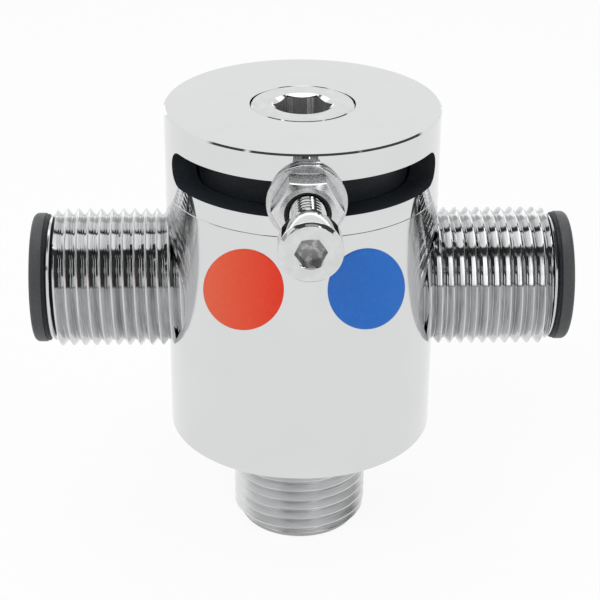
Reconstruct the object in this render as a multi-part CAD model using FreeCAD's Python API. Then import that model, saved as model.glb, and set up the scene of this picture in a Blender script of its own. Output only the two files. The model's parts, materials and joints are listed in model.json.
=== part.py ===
import FreeCAD, Part
import math
import os

# Mechanical mixing valve: two inlets at the sides, one outlet below, a lever in a slot at the front.
# The origin is the middle of the outlet's end face. +Z is up, +X points to the cold inlet and
# the lever points to -Y. Sizes are in millimetres and degrees.

# Outside of the body and the cap
body_radius = 16.0
body_height = 31.1
cap_height = 9.7
inlet_height = 18.8
body_foot_chamfer = 0.1
cap_edge_chamfer = 0.2
seam_chamfer = 0.05

# Pipe threads, plain at their crests, and at their pitch line where they engage the body
thread_radius = 8.25
thread_engaged_depth = 0.35
thread_end_chamfer = 1.1
nipple_bore_radius = 5.5
inlet_reach = 14.1
inlet_shoulder_gap = 0.05
outlet_reach = 14.0
outlet_engagement = 5.0
outlet_end_room = 2.0

# Waterways in the body
chamber_floor = 4.0
port_radius = 4.0
port_web = 1.2
nipple_end_gap = 0.1
throat_radius = 4.2
throat_length = 3.7
outlet_hole_count = 6
outlet_hole_radius = 1.6
outlet_hole_inset = 0.2

# Axle screw, and the post in the body that holds its thread
axle_head_radius = 6.0
axle_head_height = 6.6
axle_head_chamfer = 0.15
axle_head_gap = 0.12
axle_key_size = 6.0
axle_key_depth = 4.5
axle_radius = 3.0
axle_thread_radius = 2.68
axle_thread_gap = 0.02
axle_tip_chamfer = 0.5
axle_tip_room = 1.0
post_wall = 1.3
post_foot = 3.0
post_top_gap = 0.4
axle_shoulder_gap = 0.1

# Hex sockets for keys
key_mouth_share = 0.04
key_chamfer_angle = 30.0
key_drill_angle = 20.0

# Cap
cap_wall = 3.0
cap_roof = 2.1
cap_hub_wall = 2.08
cap_hub_shoulder = 2.2
cap_axle_gap = 0.1
register_height = 1.2
register_gap = 0.05

# Slot for the lever
slot_height = 4.2
slot_rise = 4.4
slot_end_angle = 61.5

# Locating pin
pin_radius = 0.75
pin_length = 5.0
pin_gap = 0.02
pin_end_gap = 0.1
pin_chamfer = 0.15

# Mixing rotor
rotor_running_gap = 0.05
rotor_clearance = 0.3
rotor_neck_wall = 1.45
rotor_sleeve_wall = 2.05
rotor_web = 5.4
sleeve_slope = 5.0

# Seals and thrust washer
groove_land = 2.0
groove_width = 1.9
rotor_groove_depth = 1.35
axle_groove_depth = 1.25
seal_face_gap = 0.03
seal_seat_gap = 0.01
thrust_washer_thickness = 0.5
thrust_washer_seat = 0.02
thrust_washer_gap = 0.08
thrust_washer_edge = 0.5
thrust_washer_bore_gap = 0.3

# Lever: thread insert, screw, washer and nut
insert_radius = 2.5
insert_inset = 0.1
insert_groove_width = 1.2
insert_groove_depth = 0.25
lever_radius = 1.98
lever_thread_gap = 0.02
lever_length = 18.0
lever_tip_inset = 0.1
lever_tip_chamfer = 0.4
lever_head_radius = 3.37
lever_head_height = 2.9
lever_head_chamfer = 0.35
lever_key_size = 3.0
lever_key_depth = 2.2
lever_key_turn = 4.0
washer_radius = 4.43
washer_bore_gap = 0.15
washer_thickness = 0.8
washer_stand_off = 0.05
washer_chamfer = 0.12
nut_across_flats = 6.85
nut_height = 3.0
nut_face_share = 0.9
nut_bore_gap = 0.07
nut_mouth_radius = 2.55
nut_chamfer_angle = 30.0

# Coloured marks on the front
dot_radius = 4.55
dot_thickness = 0.12
dot_angle = 25.8
dot_height = 24.0
dot_sight_tilt = 26.0

# Gasket and strainer at the end of each inlet
gasket_radius = 7.73
gasket_bore_radius = 4.6
gasket_thickness = 1.5
gasket_edge_radius = 0.6
filter_sheet = 0.3
filter_rim_inset = 0.13
filter_cup_radius = 5.3
filter_cup_depth = 3.3
mesh_pitch = 1.15
mesh_opening = 0.7
mesh_margin = 0.55

# Check valve cartridge in each inlet
check_radius = 5.4
check_wall = 0.9
check_end_gap = 0.1
check_filter_gap = 0.5
check_throat_radius = 3.0
check_seat_depth = 3.1
check_groove_start = 0.8
check_groove_width = 1.4
check_groove_depth = 0.8
guide_length = 2.0
guide_gap = 0.02
guide_rim = 1.0
guide_hub_radius = 1.6
guide_rib_count = 3
guide_rib_width = 0.9
poppet_gap = 0.08
poppet_head_inset = 0.6
poppet_head_thickness = 1.1
poppet_neck_radius = 2.2
poppet_nose_radius = 2.6
poppet_nose_length = 0.9
poppet_stem_radius = 0.8
poppet_stem_gap = 0.05
poppet_stem_end = 0.5
poppet_seal_thickness = 0.5
poppet_seal_gap = 0.02
spring_wire_radius = 0.25
spring_wire_sides = 8
spring_mean_radius = 2.1
spring_turns = 4
spring_end_gap = 0.02

# Levels above the outlet's end face
body_bottom = outlet_reach
seam_level = body_bottom + body_height
cap_top = seam_level + cap_height
inlet_level = body_bottom + inlet_height
lever_level = seam_level + slot_rise
outlet_socket_top = body_bottom + outlet_engagement + outlet_end_room
chamber_bottom = outlet_socket_top + chamber_floor
register_top = seam_level + register_height
head_seat = cap_top - axle_head_height
hub_bottom = head_seat - cap_hub_shoulder
cap_ceiling = cap_top - cap_roof
recess_floor = hub_bottom - thrust_washer_thickness - thrust_washer_seat - thrust_washer_gap
web_bottom = recess_floor - rotor_web
groove_bottom = web_bottom + groove_land
groove_top = groove_bottom + groove_width
flange_bottom = register_top + rotor_clearance
flange_top = cap_ceiling - rotor_clearance
post_top = web_bottom - post_top_gap
post_hole_bottom = chamber_bottom + post_foot
dot_level = body_bottom + dot_height

# Radii about the body's axis
engaged_radius = thread_radius - thread_engaged_depth
skirt_radius = body_radius - cap_wall
register_radius = skirt_radius - register_gap
flange_radius = skirt_radius - rotor_clearance
head_pocket_radius = axle_head_radius + axle_head_gap
hub_radius = head_pocket_radius + cap_hub_wall
recess_radius = hub_radius + rotor_clearance
rotor_radius = recess_radius + rotor_neck_wall
chamber_radius = rotor_radius + rotor_running_gap
sleeve_bore_radius = rotor_radius - rotor_sleeve_wall
rotor_bore_radius = axle_radius + rotor_running_gap
rotor_groove_radius = rotor_radius - rotor_groove_depth
axle_groove_radius = rotor_bore_radius + axle_groove_depth
post_hole_radius = axle_thread_radius + axle_thread_gap
post_radius = post_hole_radius + post_wall
outlet_hole_circle = post_radius + outlet_hole_inset + outlet_hole_radius
pin_circle = (skirt_radius + body_radius) / 2

# Distances out from the body's axis along an inlet
socket_end = chamber_radius + port_web
nipple_end = socket_end + nipple_end_gap
nipple_shoulder = nipple_end + throat_length
thread_start = body_radius + inlet_shoulder_gap
inlet_end = body_radius + inlet_reach
gasket_back = inlet_end + filter_sheet
gasket_front = gasket_back + gasket_thickness
filter_bottom = gasket_back - filter_cup_depth
check_back = nipple_shoulder + check_end_gap
check_front = filter_bottom - check_filter_gap
check_seat = check_front - check_seat_depth
check_bore_radius = check_radius - check_wall
check_groove_radius = check_radius - check_groove_depth
check_groove_outer = check_front - check_groove_start
check_groove_inner = check_groove_outer - check_groove_width
guide_radius = check_bore_radius - guide_gap
guide_front = check_back + guide_length
seal_front = check_seat - poppet_gap
seal_back = seal_front - poppet_seal_thickness
poppet_head_radius = check_bore_radius - poppet_head_inset
poppet_head_front = seal_back - poppet_seal_gap
poppet_head_back = poppet_head_front - poppet_head_thickness
poppet_tip = seal_front + poppet_nose_length

# Distances out from the body's axis along the lever
insert_start = recess_radius + insert_inset
insert_end = flange_radius - insert_inset
washer_back = body_radius + washer_stand_off
nut_back = washer_back + washer_thickness
nut_front = nut_back + nut_height
lever_tip = insert_start + lever_tip_inset
lever_head_back = lever_tip + lever_length
lever_face = lever_head_back + lever_head_height

# How far a cutting tool runs past the faces that it opens
overcut = 1.0

centre = FreeCAD.Vector(0, 0, 0)
up = FreeCAD.Vector(0, 0, 1)
across = FreeCAD.Vector(1, 0, 0)
back = FreeCAD.Vector(0, 1, 0)


# Solid turned about Z from a closed outline of radius and height points
def turned(outline):
    corners = [FreeCAD.Vector(radius, 0, height) for radius, height in outline]
    section = Part.Face(Part.makePolygon(corners + corners[:1]))
    return section.revolve(centre, up, 360)


# Round bar from one height to another about Z, or about an axis beside it
def bar(radius, low, high, x=0.0, y=0.0):
    return Part.makeCylinder(radius, high - low, FreeCAD.Vector(x, y, low), up)


# Hexagonal bar with two of its corners on the X axis
def hex_bar(across_flats, low, high):
    corner = across_flats / math.sqrt(3)
    points = []
    for side in range(6):
        turn = math.radians(60 * side)
        points.append(FreeCAD.Vector(corner * math.cos(turn), corner * math.sin(turn), low))
    return Part.Face(Part.makePolygon(points + points[:1])).extrude(up * (high - low))


# Tool for a hex socket: a chamfered mouth, six flats and a shallow drilled cone below them
def hex_socket(across_flats, depth, mouth):
    flat = across_flats / 2
    corner = across_flats / math.sqrt(3)
    mouth_radius = corner + flat * key_mouth_share
    chamfer = (mouth_radius - flat) * math.tan(math.radians(key_chamfer_angle))
    cone = flat * math.tan(math.radians(key_drill_angle))
    floor = mouth - depth
    lead_in = turned([
        (0, mouth - chamfer),
        (flat, mouth - chamfer),
        (mouth_radius, mouth),
        (mouth_radius, mouth + overcut),
        (0, mouth + overcut),
    ])
    drill = turned([(0, floor), (flat, floor + cone), (0, floor + cone)])
    return hex_bar(across_flats, floor + cone, mouth + overcut).fuse([lead_in, drill])


# O-ring lying in a groove between two radii, in the middle of the groove's width
def o_ring(inner, outer, level):
    section = (outer - inner) / 2
    return Part.makeTorus(inner + section, section, FreeCAD.Vector(0, 0, level), up)


# Turns a piece built along Z so that it points along an inlet: -1 to the hot side, 1 to the cold side
def set_at_inlet(shape, side):
    shape.rotate(centre, back, 90 * side)
    shape.translate(FreeCAD.Vector(0, 0, inlet_level))
    return shape


# Turns a piece built along Z so that it points along the lever
def set_at_lever(shape):
    shape.rotate(centre, across, 90)
    shape.translate(FreeCAD.Vector(0, 0, lever_level))
    return shape


# Hole for the locating pin, from one height to another
def pin_hole(low, high):
    return bar(pin_radius + pin_gap, low, high, y=pin_circle)


# Cast and turned body: rotor chamber with its post, inlet sockets and ports, outlet socket
def valve_body():
    body = turned([
        (0, outlet_socket_top),
        (engaged_radius, outlet_socket_top),
        (engaged_radius, body_bottom),
        (body_radius - body_foot_chamfer, body_bottom),
        (body_radius, body_bottom + body_foot_chamfer),
        (body_radius, seam_level - seam_chamfer),
        (body_radius - seam_chamfer, seam_level),
        (register_radius, seam_level),
        (register_radius, register_top),
        (chamber_radius, register_top),
        (chamber_radius, chamber_bottom),
        (post_radius, chamber_bottom),
        (post_radius, post_top),
        (post_hole_radius, post_top),
        (post_hole_radius, post_hole_bottom),
        (0, post_hole_bottom),
    ])
    port_start = chamber_radius - overcut
    tools = []
    for side in (-1, 1):
        tools.append(set_at_inlet(bar(engaged_radius, socket_end, body_radius + overcut), side))
        tools.append(set_at_inlet(bar(port_radius, port_start, socket_end + overcut), side))
    for number in range(outlet_hole_count):
        turn = math.radians(360 * (number + 0.5) / outlet_hole_count)
        x = outlet_hole_circle * math.cos(turn)
        y = outlet_hole_circle * math.sin(turn)
        tools.append(bar(outlet_hole_radius, outlet_socket_top - overcut, chamber_bottom + overcut, x, y))
    tools.append(pin_hole(seam_level - pin_length / 2 - pin_end_gap, seam_level + overcut))
    return body.cut(tools)


# Slot in the cap's front: a sector of its wall with half-round ends
def slot_tools():
    inner = skirt_radius - overcut
    outer = body_radius + overcut
    half = slot_height / 2
    corners = [
        FreeCAD.Vector(inner, 0, lever_level - half),
        FreeCAD.Vector(outer, 0, lever_level - half),
        FreeCAD.Vector(outer, 0, lever_level + half),
        FreeCAD.Vector(inner, 0, lever_level + half),
    ]
    sector = Part.Face(Part.makePolygon(corners + corners[:1])).revolve(centre, up, 2 * slot_end_angle)
    sector.rotate(centre, up, -90 - slot_end_angle)
    tools = [sector]
    for side in (-1, 1):
        end = Part.makeCylinder(half, outer - inner, FreeCAD.Vector(inner, 0, lever_level), across)
        end.rotate(centre, up, -90 + side * slot_end_angle)
        tools.append(end)
    return tools


# Turned cap: skirt on the body's register, hub that the axle screw clamps, slot across the front
def slotted_cap():
    cap = turned([
        (skirt_radius, seam_level),
        (body_radius - seam_chamfer, seam_level),
        (body_radius, seam_level + seam_chamfer),
        (body_radius, cap_top - cap_edge_chamfer),
        (body_radius - cap_edge_chamfer, cap_top),
        (head_pocket_radius, cap_top),
        (head_pocket_radius, head_seat),
        (axle_radius + cap_axle_gap, head_seat),
        (axle_radius + cap_axle_gap, hub_bottom),
        (hub_radius, hub_bottom),
        (hub_radius, cap_ceiling),
        (skirt_radius, cap_ceiling),
    ])
    hole = pin_hole(seam_level - overcut, seam_level + pin_length / 2 + pin_end_gap)
    return cap.cut(slot_tools() + [hole])


# Pin across the seam at the back, half in the body and half in the cap
def locating_pin():
    low = seam_level - pin_length / 2
    high = seam_level + pin_length / 2
    pin = turned([
        (0, low),
        (pin_radius - pin_chamfer, low),
        (pin_radius, low + pin_chamfer),
        (pin_radius, high - pin_chamfer),
        (pin_radius - pin_chamfer, high),
        (0, high),
    ])
    pin.translate(back * pin_circle)
    return pin


# Screw that clamps the cap to the body, with a flush head and a plain shank that the rotor turns on
def axle_screw():
    tip = post_hole_bottom + axle_tip_room
    shoulder = post_top + axle_shoulder_gap
    screw = turned([
        (0, tip),
        (axle_thread_radius - axle_tip_chamfer, tip),
        (axle_thread_radius, tip + axle_tip_chamfer),
        (axle_thread_radius, shoulder),
        (axle_radius, shoulder),
        (axle_radius, head_seat),
        (axle_head_radius, head_seat),
        (axle_head_radius, cap_top - axle_head_chamfer),
        (axle_head_radius - axle_head_chamfer, cap_top),
        (0, cap_top),
    ])
    return screw.cut(hex_socket(axle_key_size, axle_key_depth, cap_top))


# Moulded rotor: flange that takes the lever, web with two seal grooves, sleeve cut off on a slope.
# The sleeve's edge is highest below the lever, so it opens the port that the lever turns towards.
def mixing_rotor():
    sleeve_bottom = inlet_level - sleeve_slope
    rotor = turned([
        (rotor_bore_radius, web_bottom),
        (sleeve_bore_radius, web_bottom),
        (sleeve_bore_radius, sleeve_bottom),
        (rotor_radius, sleeve_bottom),
        (rotor_radius, groove_bottom),
        (rotor_groove_radius, groove_bottom),
        (rotor_groove_radius, groove_top),
        (rotor_radius, groove_top),
        (rotor_radius, flange_bottom),
        (flange_radius, flange_bottom),
        (flange_radius, flange_top),
        (recess_radius, flange_top),
        (recess_radius, recess_floor),
        (rotor_bore_radius, recess_floor),
        (rotor_bore_radius, groove_top),
        (axle_groove_radius, groove_top),
        (axle_groove_radius, groove_bottom),
        (rotor_bore_radius, groove_bottom),
    ])
    reach = rotor_radius + overcut
    rise = sleeve_slope * reach / rotor_radius
    wedge = [
        FreeCAD.Vector(-reach, -reach, sleeve_bottom - overcut),
        FreeCAD.Vector(-reach, reach, sleeve_bottom - overcut),
        FreeCAD.Vector(-reach, reach, inlet_level - rise),
        FreeCAD.Vector(-reach, -reach, inlet_level + rise),
    ]
    slope = Part.Face(Part.makePolygon(wedge + wedge[:1])).extrude(across * (2 * reach))
    insert_hole = set_at_lever(bar(insert_radius, hub_radius, flange_radius + overcut))
    return rotor.cut([slope, insert_hole])


# O-ring between the rotor and the chamber
def rotor_seal():
    level = (groove_bottom + groove_top) / 2
    return o_ring(rotor_groove_radius + seal_seat_gap, chamber_radius - seal_face_gap, level)


# O-ring between the rotor and the axle screw
def axle_seal():
    level = (groove_bottom + groove_top) / 2
    return o_ring(axle_radius + seal_face_gap, axle_groove_radius - seal_seat_gap, level)


# Thrust washer in the rotor's recess, under the cap's hub
def thrust_washer():
    low = recess_floor + thrust_washer_seat
    high = low + thrust_washer_thickness
    ring = bar(recess_radius - thrust_washer_edge, low, high)
    return ring.cut(bar(axle_radius + thrust_washer_bore_gap, low - overcut, high + overcut))


# Threaded insert in the rotor's flange, with a groove that locks it in the moulding
def lever_insert():
    middle = (insert_start + insert_end) / 2
    half = insert_groove_width / 2
    bore = lever_radius + lever_thread_gap
    return set_at_lever(turned([
        (bore, insert_start),
        (insert_radius, insert_start),
        (insert_radius, middle - half),
        (insert_radius - insert_groove_depth, middle - half),
        (insert_radius - insert_groove_depth, middle + half),
        (insert_radius, middle + half),
        (insert_radius, insert_end),
        (bore, insert_end),
    ]))


# Socket head screw that serves as the lever
def lever_screw():
    screw = turned([
        (0, lever_tip),
        (lever_radius - lever_tip_chamfer, lever_tip),
        (lever_radius, lever_tip + lever_tip_chamfer),
        (lever_radius, lever_head_back),
        (lever_head_radius, lever_head_back),
        (lever_head_radius, lever_face - lever_head_chamfer),
        (lever_head_radius - lever_head_chamfer, lever_face),
        (0, lever_face),
    ])
    socket = hex_socket(lever_key_size, lever_key_depth, lever_face)
    socket.rotate(centre, up, lever_key_turn)
    return set_at_lever(screw.cut(socket))


# Flat washer that bridges the slot
def lock_washer():
    bore = lever_radius + washer_bore_gap
    return set_at_lever(turned([
        (bore, washer_back),
        (washer_radius - washer_chamfer, washer_back),
        (washer_radius, washer_back + washer_chamfer),
        (washer_radius, nut_back - washer_chamfer),
        (washer_radius - washer_chamfer, nut_back),
        (bore, nut_back),
    ]))


# Hex nut with chamfered corners and a countersunk bore
def lock_nut():
    corner = nut_across_flats / math.sqrt(3)
    face = nut_across_flats / 2 * nut_face_share
    drop = (corner - face) * math.tan(math.radians(nut_chamfer_angle))
    bore = lever_radius + nut_bore_gap
    mouth = nut_mouth_radius - bore
    envelope = turned([
        (bore, nut_back + mouth),
        (nut_mouth_radius, nut_back),
        (face, nut_back),
        (corner, nut_back + drop),
        (corner, nut_front - drop),
        (face, nut_front),
        (nut_mouth_radius, nut_front),
        (bore, nut_front - mouth),
    ])
    return set_at_lever(hex_bar(nut_across_flats, nut_back, nut_front).common(envelope))


# Enamel mark on the body's surface: -1 for hot, 1 for cold.
# It is punched along the line of sight of someone who looks down on the front, to whom it is round.
def dot(side):
    turn = math.radians(side * dot_angle)
    tilt = math.radians(dot_sight_tilt)
    middle = FreeCAD.Vector(body_radius * math.sin(turn), -body_radius * math.cos(turn), dot_level)
    sight = FreeCAD.Vector(0, math.cos(tilt), -math.sin(tilt))
    reach = 2 * dot_radius
    low = dot_level - reach
    high = dot_level + reach
    skin = bar(body_radius + dot_thickness, low, high).cut(bar(body_radius, low, high))
    return skin.common(Part.makeCylinder(dot_radius, 2 * reach, middle - sight * reach, sight))


# Outlet nipple: threaded tube below the body
def outlet_nipple():
    top = body_bottom + outlet_engagement
    return turned([
        (nipple_bore_radius, 0),
        (thread_radius - thread_end_chamfer, 0),
        (thread_radius, thread_end_chamfer),
        (thread_radius, body_bottom),
        (engaged_radius, body_bottom),
        (engaged_radius, top),
        (nipple_bore_radius, top),
    ])


# Inlet nipple: threaded tube with a shoulder inside that the check valve rests on
def inlet_nipple(side):
    return set_at_inlet(turned([
        (throat_radius, nipple_end),
        (engaged_radius, nipple_end),
        (engaged_radius, thread_start),
        (thread_radius, thread_start),
        (thread_radius, inlet_end - thread_end_chamfer),
        (thread_radius - thread_end_chamfer, inlet_end),
        (nipple_bore_radius, inlet_end),
        (nipple_bore_radius, nipple_shoulder),
        (throat_radius, nipple_shoulder),
    ]), side)


# Rubber gasket on the strainer's rim, with a rounded outer edge
def inlet_gasket(side):
    ring = turned([
        (gasket_bore_radius, gasket_back),
        (gasket_radius, gasket_back),
        (gasket_radius, gasket_front),
        (gasket_bore_radius, gasket_front),
    ])
    outer_edges = []
    for edge in ring.Edges:
        middle = edge.CenterOfMass
        round_edge = isinstance(edge.Curve, Part.Circle) and abs(edge.Curve.Radius - gasket_radius) < 1e-6
        if round_edge and abs(middle.z - gasket_front) < 1e-6:
            outer_edges.append(edge)
    return set_at_inlet(ring.makeFillet(gasket_edge_radius, outer_edges), side)


# Strainer cup: a rim between nipple and gasket, a wall and a square mesh across its bottom
def inlet_filter(side):
    rim = gasket_radius - filter_rim_inset
    cup_bore = filter_cup_radius - filter_sheet
    cup = turned([
        (0, filter_bottom),
        (filter_cup_radius, filter_bottom),
        (filter_cup_radius, inlet_end),
        (rim, inlet_end),
        (rim, gasket_back),
        (cup_bore, gasket_back),
        (cup_bore, filter_bottom + filter_sheet),
        (0, filter_bottom + filter_sheet),
    ])
    half = mesh_opening / 2
    reach = cup_bore - mesh_margin
    steps = int(reach / mesh_pitch)
    holes = []
    for column in range(-steps, steps + 1):
        for row in range(-steps, steps + 1):
            x = column * mesh_pitch
            y = row * mesh_pitch
            if math.hypot(abs(x) + half, abs(y) + half) < reach:
                corner = FreeCAD.Vector(x - half, y - half, filter_bottom - overcut)
                holes.append(Part.makeBox(mesh_opening, mesh_opening, filter_sheet + 2 * overcut, corner))
    return set_at_inlet(cup.cut(holes), side)


# Check valve housing: seat and throat at the outer end, O-ring groove, open chamber behind the seat
def check_housing(side):
    return set_at_inlet(turned([
        (check_bore_radius, check_back),
        (check_radius, check_back),
        (check_radius, check_groove_inner),
        (check_groove_radius, check_groove_inner),
        (check_groove_radius, check_groove_outer),
        (check_radius, check_groove_outer),
        (check_radius, check_front),
        (check_throat_radius, check_front),
        (check_throat_radius, check_seat),
        (check_bore_radius, check_seat),
    ]), side)


# O-ring between the check valve housing and the nipple's bore
def check_seal(side):
    level = (check_groove_inner + check_groove_outer) / 2
    ring = o_ring(check_groove_radius + seal_seat_gap, nipple_bore_radius - seal_seat_gap, level)
    return set_at_inlet(ring, side)


# Guide in the back of the check valve: a rim, a hub for the poppet's stem and ribs between them
def check_guide(side):
    rim_bore = guide_radius - guide_rim
    rim = bar(guide_radius, check_back, guide_front).cut(bar(rim_bore, check_back, guide_front))
    hub = bar(guide_hub_radius, check_back, guide_front)
    ribs = []
    for number in range(guide_rib_count):
        corner = FreeCAD.Vector(0, -guide_rib_width / 2, check_back)
        rib = Part.makeBox(rim_bore + guide_rim / 2, guide_rib_width, guide_length, corner)
        rib.rotate(centre, up, 360 * number / guide_rib_count)
        ribs.append(rib)
    guide = rim.fuse([hub] + ribs)
    stem_hole = bar(poppet_stem_radius + poppet_stem_gap, check_back - overcut, guide_front + overcut)
    return set_at_inlet(guide.cut(stem_hole).removeSplitter(), side)


# Poppet: stem in the guide, head that the spring presses on, neck for the seal and a nose in the throat
def check_poppet(side):
    stem_end = check_back + poppet_stem_end
    return set_at_inlet(turned([
        (0, stem_end),
        (poppet_stem_radius, stem_end),
        (poppet_stem_radius, poppet_head_back),
        (poppet_head_radius, poppet_head_back),
        (poppet_head_radius, poppet_head_front),
        (poppet_neck_radius, poppet_head_front),
        (poppet_neck_radius, seal_front),
        (poppet_nose_radius, seal_front),
        (poppet_neck_radius, poppet_tip),
        (0, poppet_tip),
    ]), side)


# Flat rubber ring on the poppet's neck, which closes on the seat
def poppet_seal(side):
    ring = bar(poppet_head_radius, seal_back, seal_front - poppet_seal_gap)
    bore = bar(poppet_neck_radius + poppet_seal_gap, seal_back - overcut, seal_front + overcut)
    return set_at_inlet(ring.cut(bore), side)


# Coil spring between the guide and the poppet's head, swept with an eight-sided wire
def check_spring(side):
    low = guide_front + spring_end_gap + spring_wire_radius
    height = poppet_head_back - spring_end_gap - spring_wire_radius - low
    pitch = height / spring_turns
    path = Part.Wire(Part.makeHelix(pitch, height, spring_mean_radius).Edges)
    start = FreeCAD.Vector(spring_mean_radius, 0, 0)
    along = FreeCAD.Vector(0, spring_mean_radius, pitch / (2 * math.pi))
    sideways = along.cross(across).normalize()
    corners = []
    for number in range(spring_wire_sides):
        turn = 2 * math.pi * (number + 0.5) / spring_wire_sides
        outward = across * (spring_wire_radius * math.cos(turn))
        corners.append(start + outward + sideways * (spring_wire_radius * math.sin(turn)))
    coil = path.makePipeShell([Part.makePolygon(corners + corners[:1])], True, True)
    coil.translate(up * low)
    return set_at_inlet(coil, side)


pieces = {
    "valve_body": valve_body(),
    "slotted_cap": slotted_cap(),
    "locating_pin": locating_pin(),
    "axle_screw": axle_screw(),
    "mixing_rotor": mixing_rotor(),
    "rotor_seal": rotor_seal(),
    "axle_seal": axle_seal(),
    "thrust_washer": thrust_washer(),
    "lever_insert": lever_insert(),
    "lever_screw": lever_screw(),
    "lock_washer": lock_washer(),
    "lock_nut": lock_nut(),
    "outlet_nipple": outlet_nipple(),
}
for name, side in (("hot", -1), ("cold", 1)):
    pieces[name + "_dot"] = dot(side)
    pieces["inlet_nipple_" + name] = inlet_nipple(side)
    pieces["inlet_gasket_" + name] = inlet_gasket(side)
    pieces["filter_" + name] = inlet_filter(side)
    pieces["check_housing_" + name] = check_housing(side)
    pieces["check_seal_" + name] = check_seal(side)
    pieces["check_guide_" + name] = check_guide(side)
    pieces["check_poppet_" + name] = check_poppet(side)
    pieces["poppet_seal_" + name] = poppet_seal(side)
    pieces["check_spring_" + name] = check_spring(side)

os.makedirs("parts", exist_ok=True)
for node, shape in pieces.items():
    shape.exportStep("parts/" + node + ".step")
    print(node, len(shape.Solids), "solid,", round(shape.Volume, 2), "cubic mm, valid", shape.isValid())
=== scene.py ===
import json
import math

import bmesh
import bpy
from mathutils import Matrix, Vector


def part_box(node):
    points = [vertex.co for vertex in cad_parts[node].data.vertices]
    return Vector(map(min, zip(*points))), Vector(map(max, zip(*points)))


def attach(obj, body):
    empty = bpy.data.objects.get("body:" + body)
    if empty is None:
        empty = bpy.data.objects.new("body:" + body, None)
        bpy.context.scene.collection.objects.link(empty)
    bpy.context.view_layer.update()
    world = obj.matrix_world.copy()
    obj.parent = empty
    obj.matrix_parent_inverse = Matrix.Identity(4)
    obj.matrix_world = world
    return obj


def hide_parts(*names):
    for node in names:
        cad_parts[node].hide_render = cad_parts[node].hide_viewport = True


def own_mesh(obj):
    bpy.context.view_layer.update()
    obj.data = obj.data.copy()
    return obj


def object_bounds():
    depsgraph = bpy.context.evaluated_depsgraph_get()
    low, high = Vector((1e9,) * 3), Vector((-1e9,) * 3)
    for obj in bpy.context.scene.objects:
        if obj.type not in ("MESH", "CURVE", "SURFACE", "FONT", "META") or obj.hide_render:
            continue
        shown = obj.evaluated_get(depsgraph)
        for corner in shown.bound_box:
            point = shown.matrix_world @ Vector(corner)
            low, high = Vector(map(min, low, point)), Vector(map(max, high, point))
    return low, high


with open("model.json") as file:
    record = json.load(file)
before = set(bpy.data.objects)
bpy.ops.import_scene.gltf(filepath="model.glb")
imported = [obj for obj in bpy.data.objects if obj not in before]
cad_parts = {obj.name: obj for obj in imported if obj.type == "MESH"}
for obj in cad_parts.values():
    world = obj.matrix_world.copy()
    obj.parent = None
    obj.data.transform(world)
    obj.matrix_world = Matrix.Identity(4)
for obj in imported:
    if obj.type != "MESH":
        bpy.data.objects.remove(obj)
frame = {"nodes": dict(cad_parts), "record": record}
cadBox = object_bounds()
mm = 0.001
scene = bpy.context.scene

# places that every piece is built from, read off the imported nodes
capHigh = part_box("slotted_cap")[1]
coldLow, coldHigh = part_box("inlet_nipple_cold")
leverLow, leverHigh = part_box("lever_screw")
nutLow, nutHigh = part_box("lock_nut")
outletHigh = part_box("outlet_nipple")[1].z
bodyRadius = capHigh.x
inletLevel = (coldLow.z + coldHigh.z) / 2
leverLevel = (leverLow.z + leverHigh.z) / 2
sides = {"hot": -1, "cold": 1}
alongLever = Matrix.Translation((0, 0, leverLevel)) @ Matrix.Rotation(math.pi / 2, 4, "X")
alongOutlet = Matrix.Translation((0, 0, outletHigh)) @ Matrix.Rotation(math.pi, 4, "X")


def alongInlet(side):
    return Matrix.Translation((0, 0, inletLevel)) @ Matrix.Rotation(side * math.pi / 2, 4, "Y")


# near end, far end and radius of a node on the axis of the inlets
def inletSpan(low, high):
    near, far = sorted((abs(low.x), abs(high.x)))
    return near, far, (high.z - low.z) / 2


# mesh helpers: everything is made of rings of points round the local Z axis

# below these lengths points are welded, edges dropped and thread rows taken as flat
tiny = {"points": 2e-7, "edges": 1e-8, "rows": 1e-9}


def ring(around, radius, height):
    return shapedRing(around, lambda turn: radius, lambda turn: height)


def shapedRing(around, radiusAt, heightAt):
    points = []
    for step in range(around):
        turn = 2 * math.pi * step / around
        radius = radiusAt(turn)
        points.append((radius * math.cos(turn), radius * math.sin(turn), heightAt(turn)))
    return points


def bridged(rings, closed=True):
    around = len(rings[0])
    verts = [point for loop in rings for point in loop]
    faces = []
    for level in range(len(rings) if closed else len(rings) - 1):
        low = level * around
        high = (level + 1) % len(rings) * around
        for step in range(around):
            after = (step + 1) % around
            faces.append((low + step, low + after, high + after, high + step))
    return verts, faces


# open tube of rings, closed at each end by the middle of its last ring
def capped(rings):
    first, last = (
        [tuple(sum(axis) / len(loop) for axis in zip(*loop))] * len(loop) for loop in (rings[0], rings[-1])
    )
    return bridged([first] + rings + [last], closed=False)


# closed outline of (radius, height, rounding) corners, each rounding drawn as an arc
def softOutline(corners, steps=4):
    outline = []
    for number, (radius, height, rounding) in enumerate(corners):
        here = Vector((radius, height))
        if not rounding:
            outline.append(here)
            continue
        toLast = (Vector(corners[number - 1][:2]) - here).normalized()
        toNext = (Vector(corners[(number + 1) % len(corners)][:2]) - here).normalized()
        corner = toLast.angle(toNext)
        centre = here + (toLast + toNext).normalized() * (rounding / math.sin(corner / 2))
        first = here + toLast * (rounding / math.tan(corner / 2)) - centre
        last = here + toNext * (rounding / math.tan(corner / 2)) - centre
        sweep = math.pi - corner
        for step in range(steps + 1):
            share = step / steps
            arc = first * math.sin((1 - share) * sweep) + last * math.sin(share * sweep)
            outline.append(centre + arc / math.sin(sweep))
    return outline


def outlineRings(outline, around):
    return [ring(around, radius, height) for radius, height in outline]


def turned(outline, around):
    return bridged(outlineRings(outline, around))


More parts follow.
